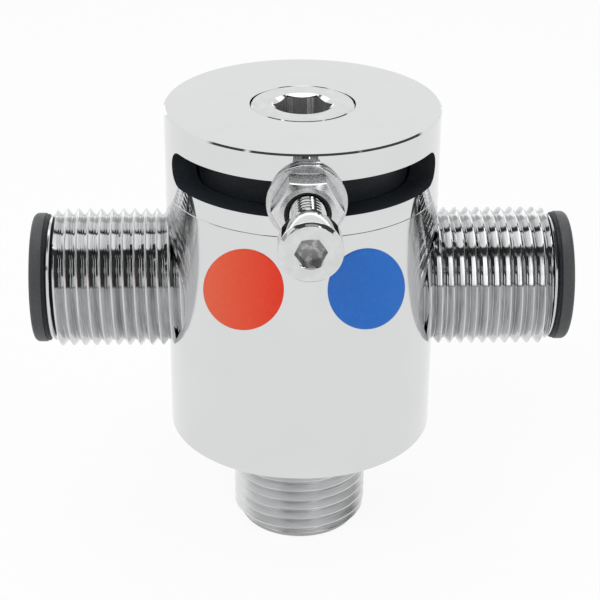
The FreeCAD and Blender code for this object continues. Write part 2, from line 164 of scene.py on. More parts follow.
def joined(*parts):
    verts, faces = [], []
    for partVerts, partFaces in parts:
        start = len(verts)
        verts += partVerts
        faces += [tuple(start + corner for corner in face) for face in partFaces]
    return verts, faces


# height of a round-crested V thread above its pitch line; place is counted in pitches from a crest
def threadHeight(thread, place):
    pitch = thread["pitch"]
    slope = math.radians(thread["halfAngle"])
    rounding = thread["rounding"] * pitch
    half = threadDepth(thread) / 2
    fromCrest = abs((place + 0.5) % 1 - 0.5) * pitch
    fromRoot = pitch / 2 - fromCrest
    arcReach = rounding * math.cos(slope)
    if fromCrest < arcReach:
        return half - rounding + math.sqrt(rounding ** 2 - fromCrest ** 2)
    if fromRoot < arcReach:
        return rounding - half - math.sqrt(rounding ** 2 - fromRoot ** 2)
    return (pitch / 4 - fromCrest) / math.tan(slope)


def threadDepth(thread):
    slope = math.radians(thread["halfAngle"])
    rounding = thread["rounding"] * thread["pitch"]
    return 2 * (thread["pitch"] / 4 / math.tan(slope) - rounding * (1 / math.sin(slope) - 1))


def threadRadius(thread, turn, height):
    place = height / thread["pitch"] - turn / (2 * math.pi) - thread["phase"]
    radius = thread["crest"] - threadDepth(thread) / 2 + threadHeight(thread, place)
    return min(radius, thread["crest"] - leadDrop(thread, thread["end"] - height))


# how far the end is turned down, from (distance, drop) corners counted from the free end
def leadDrop(thread, fromEnd):
    for (near, deep), (far, shallow) in zip(thread["lead"], thread["lead"][1:]):
        if fromEnd <= far:
            return deep + (shallow - deep) * (fromEnd - near) / (far - near)
    return 0


# the rows of this skin climb with the thread, so its crests and roots are clean lines
def threadSkin(thread):
    pitch, perPitch, around = thread["pitch"], thread["rowsPerPitch"], thread["around"]
    start, end = thread["start"], thread["end"]
    rows = math.ceil((end - start + pitch) / pitch * perPitch)
    verts, heights, faces = [], [], []
    for row in range(rows + perPitch + 1):
        for step in range(around):
            turn = 2 * math.pi * step / around
            height = start - pitch + row * pitch / perPitch + pitch * step / around
            height = min(max(height, start), end)
            radius = threadRadius(thread, turn, height)
            heights.append(height)
            verts.append((radius * math.cos(turn), radius * math.sin(turn), height))
    for row in range(rows):
        for step in range(around):
            low = row * around + step
            after = low + 1 if step + 1 < around else (row + perPitch) * around
            face = (low, after, after + around, low + around)
            spread = [heights[corner] for corner in face]
            if max(spread) - min(spread) > tiny["rows"]:
                faces.append(face)
    return verts, faces


def threadEnd(thread, height):
    return shapedRing(
        thread["around"], lambda turn: threadRadius(thread, turn, height), lambda turn: height,
    )


def makePiece(name, shape, place, material, body, replaced=(), sharpAngle=32, thread=None):
    mesh = bpy.data.meshes.new(name)
    mesh.from_pydata(shape[0], [], shape[1])
    work = bmesh.new()
    work.from_mesh(mesh)
    bmesh.ops.remove_doubles(work, verts=work.verts, dist=tiny["points"])
    bmesh.ops.dissolve_degenerate(work, edges=work.edges, dist=tiny["edges"])
    bmesh.ops.recalc_face_normals(work, faces=work.faces)
    work.to_mesh(mesh)
    work.free()
    if thread:
        markGrooves(mesh, thread)
    mesh.transform(place)
    mesh.shade_smooth()
    mesh.set_sharp_from_angle(angle=math.radians(sharpAngle))
    mesh.materials.append(material)
    piece = bpy.data.objects.new(name, mesh)
    scene.collection.objects.link(piece)
    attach(piece, body)
    if replaced:
        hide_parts(*replaced)
    return piece


# 0 on a crest and 1 in a root, for the materials; 0 too in the bore and on the turned-down end
def markGrooves(mesh, thread):
    depth = threadDepth(thread)
    pastRoots = 1.1
    last = thread["end"] - thread["lead"][-2][0]
    values = []
    for vert in mesh.vertices:
        below = (thread["crest"] - vert.co.xy.length) / depth
        plain = below > pastRoots or not thread["start"] <= vert.co.z <= last
        values.append(0.0 if plain else min(max(below, 0.0), 1.0))
    mesh.attributes.new("groove", "FLOAT", "POINT").data.foreach_set("value", values)


# shader helpers: feed links a socket or sets it to a constant, and each of the others adds one node
# and gives back what it puts out

def feed(tree, value, socket):
    if isinstance(value, bpy.types.NodeSocket):
        tree.links.new(value, socket)
    else:
        socket.default_value = value


def maths(tree, operation, *values):
    node = tree.nodes.new("ShaderNodeMath")
    node.operation = operation
    for number, value in enumerate(values):
        feed(tree, value, node.inputs[number])
    return node.outputs[0]


def vectorMaths(tree, operation, *values):
    node = tree.nodes.new("ShaderNodeVectorMath")
    node.operation = operation
    for number, value in enumerate(values):
        feed(tree, value, node.inputs[number])
    return node.outputs["Value" if operation == "LENGTH" else "Vector"]


def split(tree, place):
    node = tree.nodes.new("ShaderNodeSeparateXYZ")
    feed(tree, place, node.inputs[0])
    return node.outputs


def noise(tree, place, scale, texture):
    node = tree.nodes.new("ShaderNodeTexNoise")
    feed(tree, place, node.inputs["Vector"])
    feed(tree, scale, node.inputs["Scale"])
    feed(tree, texture["detail"], node.inputs["Detail"])
    feed(tree, texture["roughness"], node.inputs["Roughness"])
    return node.outputs["Fac"]


def remap(tree, value, ends, newEnds=(0, 1), curve="LINEAR"):
    node = tree.nodes.new("ShaderNodeMapRange")
    node.interpolation_type = curve
    labels = ("Value", "From Min", "From Max", "To Min", "To Max")
    for label, part in zip(labels, (value, *ends, *newEnds)):
        feed(tree, part, node.inputs[label])
    return node.outputs["Result"]


# the Mix node has two inputs and an output of its own for each kind
mixSockets = {"FLOAT": (2, 3, 0), "RGBA": (6, 7, 2)}


def blend(tree, kind, mask, first, second):
    node = tree.nodes.new("ShaderNodeMix")
    node.data_type = kind
    firstEnd, secondEnd, result = mixSockets[kind]
    feed(tree, mask, node.inputs["Factor"])
    feed(tree, first, node.inputs[firstEnd])
    feed(tree, second, node.inputs[secondEnd])
    return node.outputs[result]


# shader groups, each shared by several finishes

# noise of each group, and the range of it that the group's mask spreads out
textures = {
    "patches": {"detail": 4, "roughness": 0.6, "spread": (0.32, 0.68)},
    "hairlines": {"detail": 3, "roughness": 0.65, "spread": (0.52, 0.7)},
    "film": {"detail": 5, "roughness": 0.6, "spread": (0.3, 0.65), "scale": 2400, "power": 1.6},
    "grain": {"detail": 3, "roughness": 0.5, "spread": (0.45, 0.75)},
}


def newGroup(name, inputs, outputs):
    tree = bpy.data.node_groups.new(name, "ShaderNodeTree")
    for label, kind in inputs:
        tree.interface.new_socket(name=label, in_out="INPUT", socket_type="NodeSocket" + kind)
    for label, kind in outputs:
        tree.interface.new_socket(name=label, in_out="OUTPUT", socket_type="NodeSocket" + kind)
    return tree, tree.nodes.new("NodeGroupInput").outputs, tree.nodes.new("NodeGroupOutput").inputs


# slow patches of a polished or moulded surface, as a mask and as a value between two limits
def patchesGroup():
    texture = textures["patches"]
    tree, give, take = newGroup(
        "surfacePatches",
        (("Position", "Vector"), ("Patch Scale", "Float"), ("Low", "Float"), ("High", "Float")),
        (("Value", "Float"), ("Mask", "Float")),
    )
    cloud = noise(tree, give["Position"], give["Patch Scale"], texture)
    mask = remap(tree, cloud, texture["spread"])
    feed(tree, remap(tree, mask, (0, 1), (give["Low"], give["High"])), take["Value"])
    feed(tree, mask, take["Mask"])
    return tree


# fine lines left by a polishing wheel or a turning tool
def hairlinesGroup():
    texture = textures["hairlines"]
    tree, give, take = newGroup(
        "toolHairlines",
        (("Position", "Vector"), ("Stretch", "Vector"), ("Line Scale", "Float")),
        (("Height", "Float"), ("Mask", "Float")),
    )
    pulled = vectorMaths(tree, "MULTIPLY", give["Position"], give["Stretch"])
    lines = noise(tree, pulled, give["Line Scale"], texture)
    feed(tree, lines, take["Height"])
    feed(tree, remap(tree, lines, texture["spread"]), take["Mask"])
    return tree


# dull film that gathers in thread roots, broken up along the tool lines
def filmGroup():
    texture = textures["film"]
    tree, give, take = newGroup(
        "grooveFilm",
        (("Position", "Vector"), ("Stretch", "Vector"), ("Groove", "Float"), ("Clean Color", "Color"),
         ("Film Color", "Color"), ("Amount", "Float")),
        (("Color", "Color"),),
    )
    pulled = vectorMaths(tree, "MULTIPLY", give["Position"], give["Stretch"])
    broken = remap(tree, noise(tree, pulled, texture["scale"], texture), texture["spread"])
    deep = maths(tree, "POWER", give["Groove"], texture["power"])
    torn = maths(tree, "MULTIPLY", deep, broken)
    share = maths(tree, "MULTIPLY", torn, give["Amount"])
    feed(tree, blend(tree, "RGBA", share, give["Clean Color"], give["Film Color"]), take["Color"])
    return tree


# close grain of moulded plastic, rubber and enamel
def grainGroup():
    texture = textures["grain"]
    tree, give, take = newGroup(
        "mouldGrain",
        (("Position", "Vector"), ("Grain Scale", "Float")),
        (("Height", "Float"), ("Speckle", "Float")),
    )
    cells = tree.nodes.new("ShaderNodeTexVoronoi")
    feed(tree, give["Position"], cells.inputs["Vector"])
    feed(tree, give["Grain Scale"], cells.inputs["Scale"])
    cloud = noise(tree, give["Position"], give["Grain Scale"], texture)
    feed(tree, maths(tree, "ADD", cells.outputs["Distance"], cloud), take["Height"])
    feed(tree, remap(tree, cloud, texture["spread"]), take["Speckle"])
    return tree


# 1 within a radius and between two heights, about the Z axis of the position it is given
def zoneGroup():
    tree, give, take = newGroup(
        "turnedZone",
        (("Position", "Vector"), ("Outer", "Float"), ("Low", "Float"), ("High", "Float")),
        (("Mask", "Float"),),
    )
    flat = vectorMaths(tree, "MULTIPLY", give["Position"], (1, 1, 0))
    height = split(tree, give["Position"])["Z"]
    within = maths(tree, "LESS_THAN", vectorMaths(tree, "LENGTH", flat), give["Outer"])
    above = maths(tree, "GREATER_THAN", height, give["Low"])
    below = maths(tree, "LESS_THAN", height, give["High"])
    level = maths(tree, "MULTIPLY", above, below)
    feed(tree, maths(tree, "MULTIPLY", level, within), take["Mask"])
    return tree


patches = patchesGroup()
hairlines = hairlinesGroup()
film = filmGroup()
grain = grainGroup()
zones = zoneGroup()
print("shader groups made:", len(bpy.data.node_groups))


# material helpers

def newMaterial(name):
    material = bpy.data.materials.new(name)
    material.use_nodes = True
    tree = material.node_tree
    return material, tree, tree.nodes["Principled BSDF"].inputs


def objectPlace(tree):
    return tree.nodes.new("ShaderNodeTexCoord").outputs["Object"]


def placeGroup(tree, group, place, **values):
    node = tree.nodes.new("ShaderNodeGroup")
    node.node_tree = group
    feed(tree, place, node.inputs["Position"])
    for label, value in values.items():
        feed(tree, value, node.inputs[label.replace("_", " ")])
    return node.outputs


def placePatches(tree, place, look):
    low, high = look["rough"]
    return placeGroup(tree, patches, place, Patch_Scale=look["patch"], Low=low, High=high)


def mixTints(tree, mask, tints):
    first, second = tints
    return blend(tree, "RGBA", mask, (*first, 1), (*second, 1))


# position with Z out along the lever
def leverPlace(tree, place):
    parts = split(tree, place)
    node = tree.nodes.new("ShaderNodeCombineXYZ")
    feed(tree, parts["X"], node.inputs["X"])
    feed(tree, maths(tree, "SUBTRACT", parts["Z"], leverLevel), node.inputs["Y"])
    feed(tree, maths(tree, "MULTIPLY", parts["Y"], -1), node.inputs["Z"])
    return node.outputs["Vector"]


def bumped(tree, height, distance):
    node = tree.nodes.new("ShaderNodeBump")
    feed(tree, distance, node.inputs["Distance"])
    feed(tree, height, node.inputs["Height"])
    return node.outputs["Normal"]


# plated and machined metal: two near tints in patches or streaks, tool lines in the bump, zones of
# painted shade in dull tints (with painted bounce light in the key sockets), and film in the grooves
def metalFinish(name, look):
    material, tree, surface = newMaterial(name)
    place = objectPlace(tree)
    cloud = placePatches(tree, place, look)
    lines = placeGroup(tree, hairlines, place, Stretch=look["stretch"], Line_Scale=look["lines"])
    tintMask = lines["Mask"] if look.get("streaked") else cloud["Mask"]
    color = mixTints(tree, tintMask, look["tints"])
    rough = cloud["Value"]
    metal = 1.0
    for zone in look.get("zones", ()):
        where = leverPlace(tree, place) if zone["onLever"] else place
        inside = placeGroup(
            tree, zones, where, Outer=zone["outer"], Low=zone["low"], High=zone["high"],
        )["Mask"]
        # the zone's darker dull tints are painted shade, with painted bounce light in the key sockets
        paintedShading = mixTints(tree, lines["Mask"], zone["tints"])
        color = blend(tree, "RGBA", inside, color, paintedShading)
        rough = blend(tree, "FLOAT", inside, rough, zone["rough"])
        metal = blend(tree, "FLOAT", inside, metal, zone["metal"])
    if "film" in look:
        groove = tree.nodes.new("ShaderNodeAttribute")
        groove.attribute_name = "groove"
        color = placeGroup(
            tree, film, place, Stretch=look["stretch"], Groove=groove.outputs["Fac"],
            Clean_Color=color, Film_Color=(*look["film"], 1), Amount=look["filmAmount"],
        )["Color"]
    feed(tree, metal, surface["Metallic"])
    feed(tree, rough, surface["Roughness"])
    feed(tree, color, surface["Base Color"])
    feed(tree, bumped(tree, lines["Height"], look["depth"]), surface["Normal"])
    return material


# moulded, rubber and enamel surfaces: grain in the bump, two near tints, patches in the gloss, and on the
# enamel a painted sheen that fades across it
def mouldedFinish(name, look):
    material, tree, surface = newMaterial(name)
    place = objectPlace(tree)
    cells = placeGroup(tree, grain, place, Grain_Scale=look["grain"])
    color = mixTints(tree, cells["Speckle"], look["tints"])
    # painted sheen: the left side keeps the lighter tints and fades to the enamel's own deeper tints on the
    # right
    if "sheenFade" in look:
        across = remap(tree, split(tree, place)["X"], look["sheenFade"])
        far = mixTints(tree, cells["Speckle"], look["sheenlessTints"])
        color = blend(tree, "RGBA", across, color, far)
    feed(tree, color, surface["Base Color"])
    feed(tree, placePatches(tree, place, look)["Value"], surface["Roughness"])
    if "specular" in look:
        feed(tree, look["specular"], surface["Specular IOR Level"])
    feed(tree, bumped(tree, cells["Height"], look["depth"]), surface["Normal"])
    return material


# looks: tints and film are colours, patch, lines and grain are scales, depth is the bump's in metres
chromeLook = {
    "tints": ((0.68, 0.685, 0.69), (0.705, 0.71, 0.71)),
    "patch": 120, "rough": (0.02, 0.04),
    "stretch": (1, 1, 0.05), "lines": 2600, "depth": 0.0000004,
}
bodyLook = dict(chromeLook, rough=(0.09, 0.13))
inletLook = {
    "tints": ((0.63, 0.635, 0.64), (0.43, 0.435, 0.44)), "streaked": True,
    "patch": 500, "rough": (0.04, 0.11),
    "film": (0.24, 0.24, 0.245), "filmAmount": 0.85,
    "stretch": (1, 0.04, 0.04), "lines": 7000, "depth": 0.000002,
}
hardwareLook = {
    "tints": ((0.62, 0.625, 0.63), (0.70, 0.705, 0.71)),
    "patch": 700, "rough": (0.04, 0.11),
    "film": (0.12, 0.12, 0.12), "filmAmount": 0.7,
    "stretch": (1, 0.2, 1), "lines": 2500, "depth": 0.000001,
}
# zones: the outlet's end, the slot, the key sockets, the seat under the lever's head and the nut's
# bore are painted shade in darker dull tints; the key sockets carry painted bounce light too
outletLook = dict(
    inletLook, tints=((0.75, 0.755, 0.76), (0.63, 0.635, 0.64)), rough=(0.3, 0.4), filmAmount=0.3,
    stretch=(0.04, 0.04, 1), lines=5000, zones=[{
        # painted shade: the outlet's bottom 0.75 mm darker, for the shadowed floor it would mirror
        "onLever": False, "outer": bodyRadius, "low": -0.1 * mm, "high": 0.75 * mm,
        "tints": ((0.36, 0.36, 0.365), (0.46, 0.46, 0.465)), "rough": 0.4, "metal": 1.0,
    }],
)
capLook = dict(chromeLook, zones=[{
    # painted shade: the slot's cut walls nearly black and not metal
    "onLever": False, "outer": bodyRadius - 0.1 * mm,
    "low": leverLevel - 2.15 * mm, "high": leverLevel + 2.15 * mm,
    "tints": ((0.016, 0.020, 0.025), (0.026, 0.031, 0.038)), "rough": 0.6, "metal": 0.0,
}])
axleLook = dict(hardwareLook, stretch=(1, 1, 0.03), zones=[{
    # painted shade and painted bounce light: the key socket in streaked dark and light grey, half metal
    "onLever": False, "outer": 3.7 * mm, "low": capHigh.z - 6 * mm, "high": capHigh.z - 0.34 * mm,
    "tints": ((0.22, 0.22, 0.225), (0.75, 0.75, 0.755)), "rough": 0.38, "metal": 0.5,
}])
leverLook = dict(hardwareLook, lines=1400, zones=[
    # painted shade and painted bounce light: the key socket in streaked dark and light grey, partly metal
    {
        "onLever": True, "outer": 1.9 * mm, "low": -leverLow.y - 2.6 * mm, "high": -leverLow.y - 0.2 * mm,
        "tints": ((0.3, 0.3, 0.305), (0.75, 0.75, 0.755)), "rough": 0.35, "metal": 0.7,
    },
    # painted shade: a darker band at the seat under the head
    {
        "onLever": True, "outer": 3.5 * mm, "low": -leverLow.y - 3.1 * mm, "high": -leverLow.y - 2.72 * mm,
        "tints": ((0.4, 0.4, 0.405), (0.55, 0.55, 0.555)), "rough": 0.45, "metal": 0.8,
    },
])
nutLook = {
    "tints": ((0.60, 0.605, 0.61), (0.74, 0.745, 0.75)),
    "patch": 2600, "rough": (0.18, 0.3),
    "stretch": (1, 1, 1), "lines": 4000, "depth": 0.000005,
    "zones": [{
        # painted shade: the countersink and bore in near-black grey
        "onLever": True, "outer": 2.6 * mm, "low": -nutHigh.y - 0.1 * mm, "high": -nutLow.y - 0.02 * mm,
        "tints": ((0.07, 0.07, 0.072), (0.14, 0.14, 0.142)), "rough": 0.4, "metal": 0.6,
    }],
}
washerLook = {
    "tints": ((0.50, 0.505, 0.51), (0.66, 0.665, 0.67)),
    "patch": 1600, "rough": (0.16, 0.3),
    "stretch": (1, 1, 1), "lines": 3500, "depth": 0.000004,
}
drawnLook = {
    "tints": ((0.5, 0.5, 0.505), (0.6, 0.6, 0.6)),
    "patch": 900, "rough": (0.15, 0.3),
    "stretch": (1, 1, 1), "lines": 2500, "depth": 0.000002,
}
brassLook = {
    "tints": ((0.62, 0.40, 0.13), (0.72, 0.49, 0.19)),
    "patch": 600, "rough": (0.15, 0.3),
    "stretch": (1, 0.1, 1), "lines": 2500, "depth": 0.000002,
}
mouldingLook = {
    "tints": ((0.012, 0.015, 0.019), (0.020, 0.023, 0.028)),
    "patch": 400, "rough": (0.4, 0.55), "grain": 3200, "depth": 0.000012, "specular": 0.2,
}
rubberLook = {
    "tints": ((0.040, 0.044, 0.046), (0.054, 0.058, 0.060)),
    "patch": 300, "rough": (0.42, 0.58), "grain": 4200, "depth": 0.000006,
}
bearingLook = {
    "tints": ((0.78, 0.78, 0.76), (0.84, 0.84, 0.82)),
    "patch": 300, "rough": (0.3, 0.4), "grain": 3000, "depth": 0.000003,
}
cartridgeLook = {
    "tints": ((0.66, 0.64, 0.57), (0.74, 0.72, 0.66)),
    "patch": 300, "rough": (0.32, 0.45), "grain": 2600, "depth": 0.000004,
}
# the enamel carries a painted sheen: lighter on the left, deepening to its own colour on the right
enamelLook = {"patch": 200, "rough": (0.3, 0.42), "grain": 1800, "depth": 0.000002, "specular": 0.3}
redLow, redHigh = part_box("hot_dot")
# in both marks the first tints are lit by the painted sheen and the second are the enamel's own colour
redLook = dict(
    enamelLook, sheenFade=(redLow.x, redHigh.x),
    tints=((0.73, 0.105, 0.042), (0.75, 0.120, 0.048)),
    sheenlessTints=((0.69, 0.025, 0.004), (0.71, 0.032, 0.006)),
)
blueLow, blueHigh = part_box("cold_dot")
blueLook = dict(
    enamelLook, sheenFade=(blueLow.x, blueHigh.x),
    tints=((0.016, 0.130, 0.50), (0.020, 0.142, 0.53)),
    sheenlessTints=((0.003, 0.132, 0.53), (0.005, 0.145, 0.56)),
)

finishes = {
    "chrome_body": metalFinish("chromePlate", bodyLook),
    "chrome_thread": metalFinish("inletThread", inletLook),
    "chrome_hardware": metalFinish("brightHardware", hardwareLook),
    "bright_steel": metalFinish("drawnSteel", drawnLook),
    "brass": metalFinish("machinedBrass", brassLook),
    "black_moulding": mouldedFinish("blackMoulding", mouldingLook),
    "black_rubber": mouldedFinish("blackRubber", rubberLook),
    "white_bearing": mouldedFinish("whiteBearing", bearingLook),
    "valve_moulding": mouldedFinish("cartridgeMoulding", cartridgeLook),
    "red_mark": mouldedFinish("redEnamel", redLook),
    "blue_mark": mouldedFinish("blueEnamel", blueLook),
}
satinSteel = metalFinish("satinSteel", washerLook)
leverSteel = metalFinish("leverSteel", leverLook)
nutSteel = metalFinish("nutSteel", nutLook)
ownFinishes = {
    "outlet_nipple": metalFinish("outletThread", outletLook),
    "slotted_cap": metalFinish("capPlate", capLook),
    "axle_screw": metalFinish("axleSteel", axleLook),
}
for subpart in frame["record"]["subparts"]:
    node = frame["nodes"][subpart["node"]]
    node.data.materials.clear()
    node.data.materials.append(ownFinishes.get(subpart["node"], finishes[subpart["material_slot"]]))
print("finishes set on", len(frame["nodes"]), "nodes")


# three pipe nipples: threaded outside the body, plain where they engage it, open right through
pipeThread = {
    "pitch": 1.337 * mm, "halfAngle": 37.2, "rounding": 0.075,
    "lead": ((0, 1.0 * mm), (0.6 * mm, 0.75 * mm), (1.1 * mm, 0)),
    "rowsPerPitch": 16, "around": 160,
    "crest": (coldHigh.z - coldLow.z) / 2, "engaged": 7.9 * mm, "runIn": 0.15 * mm,
    "bore": 5.5 * mm, "throat": 4.2 * mm, "throatLength": 3.7 * mm, "mouthRounding": 0.15 * mm,
    "phases": {"hot": 0.83, "cold": 0.44, "outlet": 0.544},
}


def nipple(name, place, inner, start, end, throatLength):
    thread = dict(pipeThread, start=start, end=end, phase=pipeThread["phases"][name])
    around, bore, throat = thread["around"], thread["bore"], thread["throat"]
    engaged, mouth = thread["engaged"], thread["mouthRounding"]
    rings = [threadEnd(thread, end), ring(around, bore + mouth, end), ring(around, bore, end - mouth)]
    if throatLength:
        shoulder = inner + throatLength
        rings += [ring(around, bore, shoulder), ring(around, throat, shoulder), ring(around, throat, inner)]
    else:
        rings.append(ring(around, bore, inner))
    rings += [ring(around, engaged, inner), ring(around, engaged, start), threadEnd(thread, start)]
    node = "outlet_nipple" if name == "outlet" else "inlet_nipple_" + name
    shape = joined(threadSkin(thread), bridged(rings, closed=False))
    finish = ownFinishes.get(node, finishes["chrome_thread"])
    makePiece(name + "Nipple", shape, place, finish, "housing", [node], thread=thread)


# the inlet threads run up to the round side of the body
threadStart = math.sqrt(bodyRadius ** 2 - pipeThread["crest"] ** 2) - pipeThread["runIn"]
for name, side in sides.items():
    nipple(name, alongInlet(side), coldLow.x, threadStart, coldHigh.x, pipeThread["throatLength"])
nipple("outlet", alongOutlet, 0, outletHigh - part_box("valve_body")[0].z, outletHigh, 0)
print("nipples threaded")


# rubber gaskets at the inlets
gasket = {
    "bore": 4.6 * mm, "edge": 0.6 * mm, "backEdge": 0.2 * mm, "boreEdge": 0.15 * mm,
    "edgeSteps": 6, "around": 128,
}
for name, side in sides.items():
    near, far, radius = inletSpan(*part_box("inlet_gasket_" + name))
    outline = softOutline([
        (gasket["bore"], near, gasket["boreEdge"]),
        (radius, near, gasket["backEdge"]),
        (radius, far, gasket["edge"]),
        (gasket["bore"], far, gasket["boreEdge"]),
    ], gasket["edgeSteps"])
    makePiece(name + "Gasket", turned(outline, gasket["around"]), alongInlet(side),
              finishes["black_rubber"], "housing", ["inlet_gasket_" + name])
print("gaskets turned")


# strainers: a moulded cup with a woven wire disc in its bottom
strainer = {
    "cup": 5.3 * mm, "wall": 0.3 * mm, "sheet": 0.3 * mm, "edge": 0.08 * mm, "around": 96,
    "wire": 0.1 * mm, "wirePitch": 0.56 * mm, "wireSides": 6, "bendSteps": 5, "leastSteps": 4,
}


# one wire of the weave, waving over and under the crossing wires
def wovenWire(offset, half, level, flip, across):
    wire, pitch = strainer["wire"], strainer["wirePitch"]
    count = max(strainer["leastSteps"], round(2 * half / pitch * strainer["bendSteps"]))
    rings = []
    for step in range(count + 1):
        run = -half + 2 * half * step / count
        lift = level + flip * wire * math.cos(math.pi * run / pitch)
        loop = []
        for corner in range(strainer["wireSides"]):
            turn = 2 * math.pi * corner / strainer["wireSides"]
            aside, raised = offset + wire * math.cos(turn), lift + wire * math.sin(turn)
            loop.append((aside, run, raised) if across else (run, aside, raised))
        rings.append(loop)
    return capped(rings)


for name, side in sides.items():
    near, far, rim = inletSpan(*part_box("filter_" + name))
    cup, sheet, edge = strainer["cup"], strainer["sheet"], strainer["edge"]
    bore = cup - strainer["wall"]
    outline = softOutline([
        (bore - 2 * edge, near, 0),
        (cup, near, edge),
        (cup, far - sheet, 0),
        (rim, far - sheet, edge),
        (rim, far, edge),
        (bore, far, edge),
        (bore, near + sheet, 0),
        (bore - 2 * edge, near + sheet, 0),
    ])
    makePiece(name + "Strainer", turned(outline, strainer["around"]), alongInlet(side),
              finishes["black_moulding"], "housing", ["filter_" + name])
    wires = []
    pitch = strainer["wirePitch"]
    reach = cup - strainer["wall"] / 2
    count = int(reach / pitch)
    for number in range(-count, count + 1):
        offset = (number + 0.5) * pitch
        if abs(offset) < reach - pitch / 2:
            half = math.sqrt(reach ** 2 - offset ** 2)
            flip = 1 if number % 2 else -1
            wires.append(wovenWire(offset, half, near + sheet / 2, flip, True))
            wires.append(wovenWire(offset, half, near + sheet / 2, -flip, False))
    makePiece(name + "StrainerMesh", joined(*wires), alongInlet(side), finishes["bright_steel"],
              "housing", sharpAngle=70)
print("strainers woven")


# distance from the middle of a hexagon to its side at each turn, cut off at its corners
def hexRadius(turn, flat, corner):
    fromFlat = (turn + math.pi / 6) % (math.pi / 3) - math.pi / 6
    return min(flat / math.cos(math.pi / 6 - abs(fromFlat)), corner)


# lever: socket head screw, plain below its head
leverScrew = {
    "pitch": 0.7 * mm, "halfAngle": 30, "rounding": 0.12, "crest": 1.98 * mm, "phase": 0.0,
    "lead": ((0, 0.4 * mm), (0.4 * mm, 0)), "rowsPerPitch": 12, "around": 96,
    "headLength": 2.9 * mm, "chamfer": 0.35 * mm, "edge": 0.1 * mm, "seatEdge": 0.15 * mm,
    "plain": 3.9 * mm, "plainRadius": 1.95 * mm, "runOut": 0.4 * mm, "fillet": 0.1 * mm, "edgeSteps": 3,
    "key": 3.0 * mm, "keyDepth": 2.2 * mm, "keyTwist": math.radians(4),
    "keyMouth": 0.04, "keyChamfer": 30, "keyPoint": 20,
}


# rings of the key socket from its mouth in the face down to the drill point
def keySocket(face):
    around, floorLevel = leverScrew["around"], face - leverScrew["keyDepth"]
    flat = leverScrew["key"] / 2
    corner = leverScrew["key"] / math.sqrt(3)
    mouth = corner + leverScrew["keyMouth"] * flat
    slope = math.tan(math.radians(leverScrew["keyChamfer"]))
    cone = flat * math.tan(math.radians(leverScrew["keyPoint"]))

    def wall(turn):
        return hexRadius(turn - leverScrew["keyTwist"], flat, corner)

    return [
        ring(around, mouth, face),
        shapedRing(around, wall, lambda turn: face - (mouth - wall(turn)) * slope),
        shapedRing(around, wall, lambda turn: floorLevel + cone),
        ring(around, flat, floorLevel + cone),
        ring(around, 0, floorLevel),
    ]


face = -leverLow.y
seat = face - leverScrew["headLength"]
headRadius = (leverHigh.x - leverLow.x) / 2
around = leverScrew["around"]
shank = dict(leverScrew, start=-leverHigh.y, end=seat - leverScrew["plain"])
headOutline = softOutline([
    (0, shank["end"], 0),
    (threadRadius(shank, 0, shank["end"]), shank["end"], 0),
    (leverScrew["plainRadius"], shank["end"] + leverScrew["runOut"], leverScrew["fillet"]),
    (leverScrew["plainRadius"], seat, leverScrew["fillet"]),
    (headRadius, seat, leverScrew["seatEdge"]),
    (headRadius, face - leverScrew["chamfer"], leverScrew["edge"]),
    (headRadius - leverScrew["chamfer"], face, leverScrew["edge"]),
    (0, face, 0),
], leverScrew["edgeSteps"])[1:-1]
headRings = outlineRings(headOutline, around) + keySocket(face)
shankRings = [ring(around, 0, shank["start"]), threadEnd(shank, shank["start"])]
shape = joined(threadSkin(shank), bridged(shankRings, closed=False), bridged(headRings, closed=False))
makePiece("leverScrew", shape, alongLever, leverSteel, "lever", ["lever_screw"],
          thread=shank)


# lock nut: hexagon with coned faces and countersunk bore, its edges broken by a steep bevel
lockNut = {
    "faceShare": 0.9, "slope": 30, "bore": 2.05 * mm, "mouth": 2.55 * mm,
    "edgeDepth": 0.09 * mm, "edgeRise": 0.052 * mm, "edgeFall": 0.1 * mm, "around": 144,
}
nutBack, nutFront = -nutHigh.y, -nutLow.y
nutFlat = (nutHigh.z - nutLow.z) / 2
nutCorner = (nutHigh.x - nutLow.x) / 2
nutFace = nutFlat * lockNut["faceShare"]


def nutSide(turn):
    return hexRadius(turn, nutFlat, nutCorner)


def nutDrop(turn):
    return (nutSide(turn) - nutFace) * math.tan(math.radians(lockNut["slope"]))


def nutEdge(turn):
    return nutSide(turn) - lockNut["edgeDepth"]


around, rise, fall = lockNut["around"], lockNut["edgeRise"], lockNut["edgeFall"]
sink = lockNut["mouth"] - lockNut["bore"]
shape = bridged([
    ring(around, lockNut["bore"], nutBack + sink),
    ring(around, lockNut["mouth"], nutBack),
    ring(around, nutFace, nutBack),
    shapedRing(around, nutEdge, lambda turn: nutBack + nutDrop(turn) - rise),
    shapedRing(around, nutSide, lambda turn: nutBack + nutDrop(turn) + fall),
    shapedRing(around, nutSide, lambda turn: nutFront - nutDrop(turn) - fall),
    shapedRing(around, nutEdge, lambda turn: nutFront - nutDrop(turn) + rise),
    ring(around, nutFace, nutFront),
    ring(around, lockNut["mouth"], nutFront),
    ring(around, lockNut["bore"], nutFront - sink),
])
makePiece("lockNut", shape, alongLever, nutSteel, "nut", ["lock_nut"], sharpAngle=22)


# flat washer under the nut
lockWasher = {"bore": 2.13 * mm, "edge": 0.16 * mm, "boreEdge": 0.08 * mm, "around": 128}
low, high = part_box("lock_washer")
radius = (high.x - low.x) / 2
outline = softOutline([
    (lockWasher["bore"], -high.y, lockWasher["boreEdge"]),
    (radius, -high.y, lockWasher["edge"]),
    (radius, -low.y, lockWasher["edge"]),
    (lockWasher["bore"], -low.y, lockWasher["boreEdge"]),
])
makePiece("lockWasher", turned(outline, lockWasher["around"]), alongLever, satinSteel, "washer",
          ["lock_washer"])
print("lever, nut and washer made")


